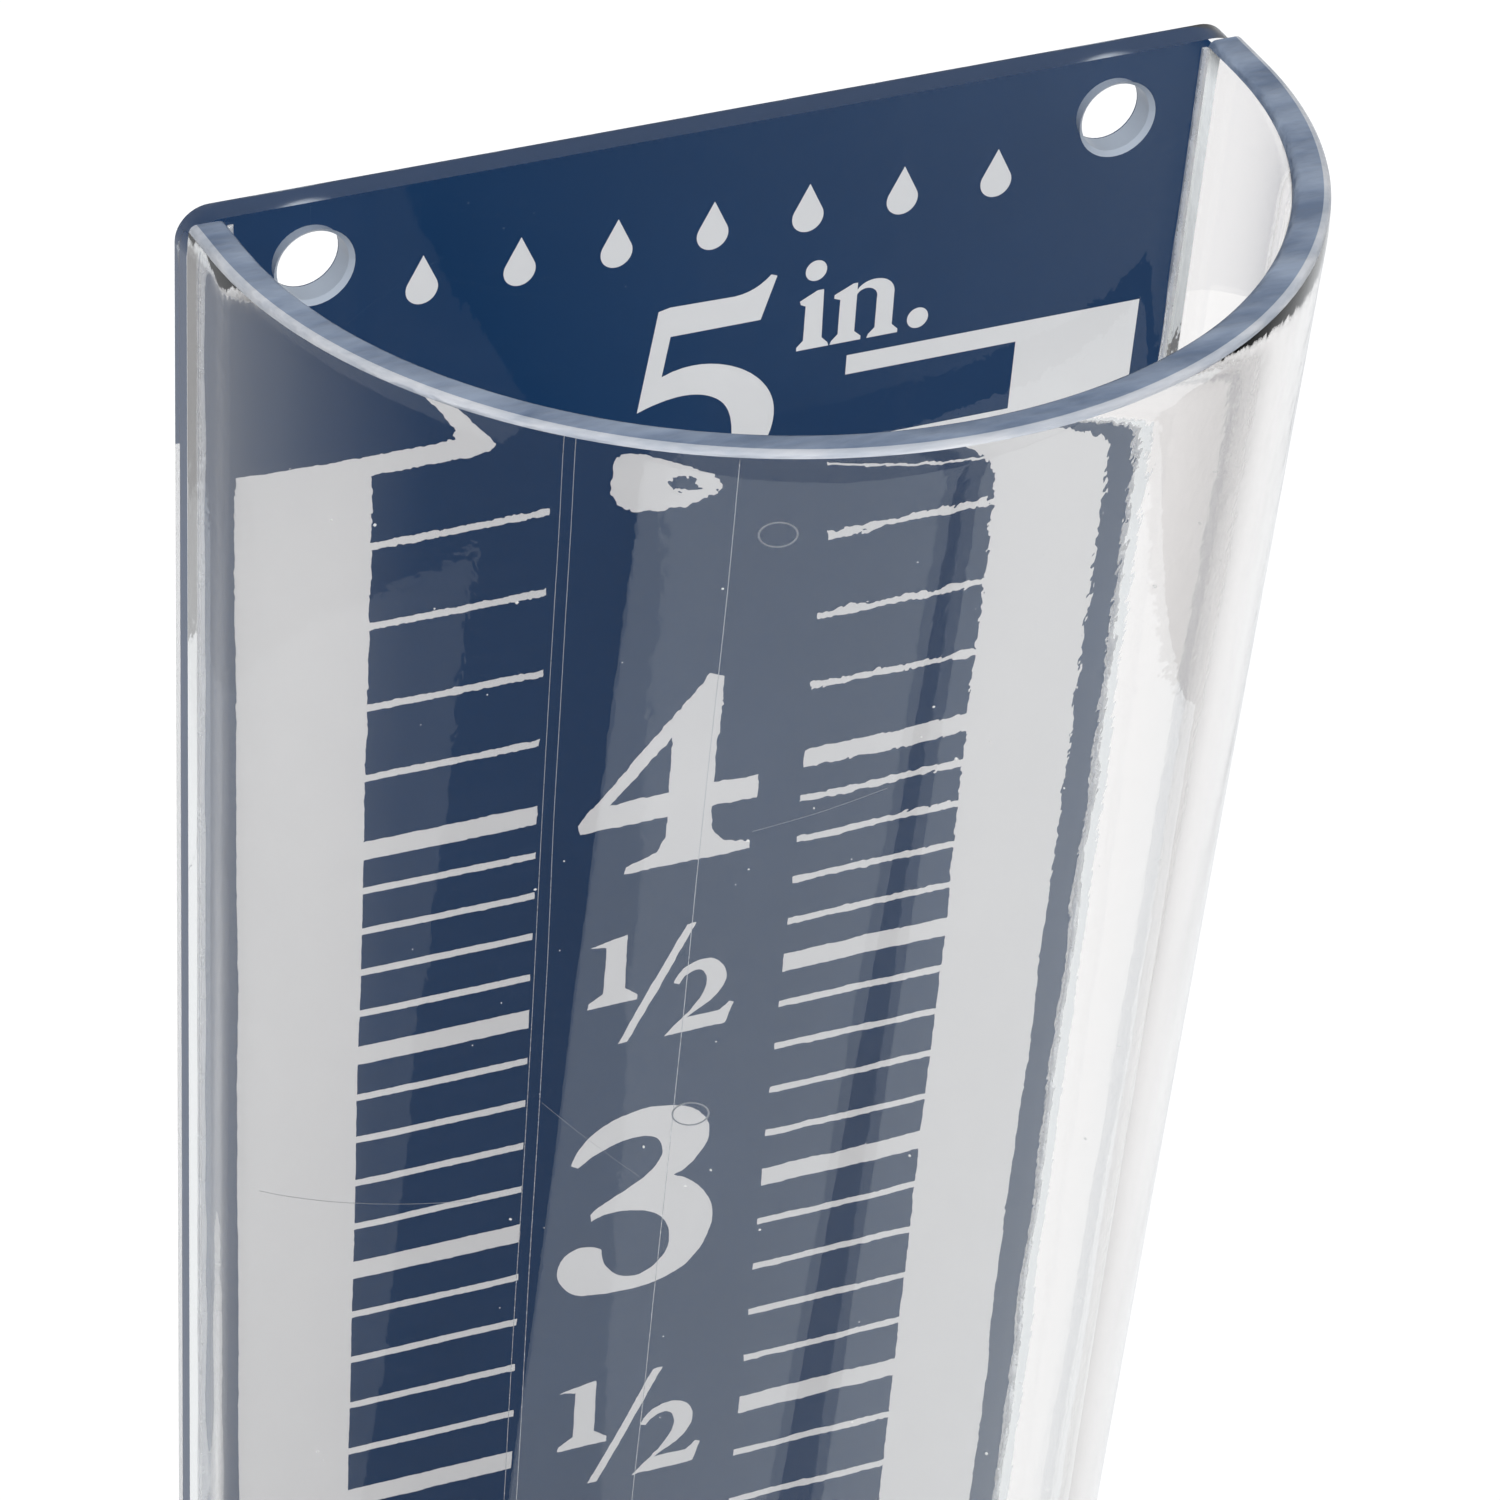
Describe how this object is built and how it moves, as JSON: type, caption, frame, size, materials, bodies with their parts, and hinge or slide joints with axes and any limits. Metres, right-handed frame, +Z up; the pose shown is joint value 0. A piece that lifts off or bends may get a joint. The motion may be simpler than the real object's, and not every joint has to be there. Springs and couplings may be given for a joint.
{
  "type": "rain gauge",
  "caption": "Wall rain gauge: flat clear back plate printed with an inch scale, and a tapered D-shaped clear trough, open at the top.",
  "frame": {"origin": "on the rear face of the back plate, midway between the two screw holes", "axes": "+Z up, +X to the viewer's right, +Y into the wall; the gauge faces -Y"},
  "size_m": [0.0834, 0.0462, 0.3175],
  "materials": {
    "clear_acrylic": "polished",
    "cement": "set solvent cement, slightly cloudy",
    "blue_ink": "screen printed ink",
    "white_ink": "screen printed ink"
  },
  "bodies": {
    "root": {"back_plate": "clear_acrylic", "front_shell": "clear_acrylic", "base_block": "clear_acrylic", "seam_left": "cement", "seam_right": "cement", "seam_base": "cement", "ink_ground": "blue_ink", "ink_scale": "white_ink", "ink_numerals": "white_ink", "ink_raindrops": "white_ink"}
  },
  "joints": []
}
